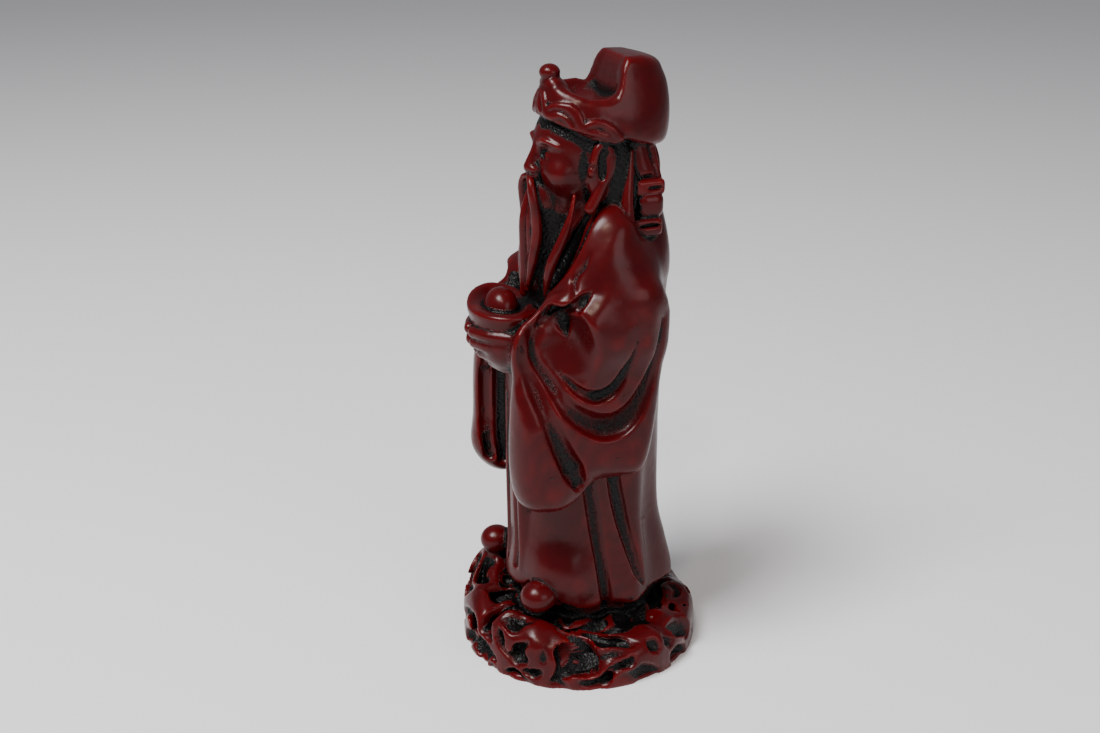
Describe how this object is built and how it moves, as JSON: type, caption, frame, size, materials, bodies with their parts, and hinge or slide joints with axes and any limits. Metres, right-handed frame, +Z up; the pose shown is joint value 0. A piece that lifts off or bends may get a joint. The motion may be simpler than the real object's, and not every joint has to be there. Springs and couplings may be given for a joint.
{
  "type": "deity figurine",
  "caption": "Standing bearded court official in a wide-sleeved robe and scooped hat, holding a boat-shaped ingot, cast in one with a rocky round base.",
  "frame": {"origin": "centre of the base's underside", "axes": "+Z up; the figure faces -Y, so its left hand is at +X"},
  "size_m": [0.0454, 0.0458, 0.114],
  "materials": {
    "red_resin": "deep cinnabar-red glossy cast polyresin with a dark wash in its recesses"
  },
  "bodies": {
    "root": {"figurine": "red_resin"}
  },
  "joints": []
}
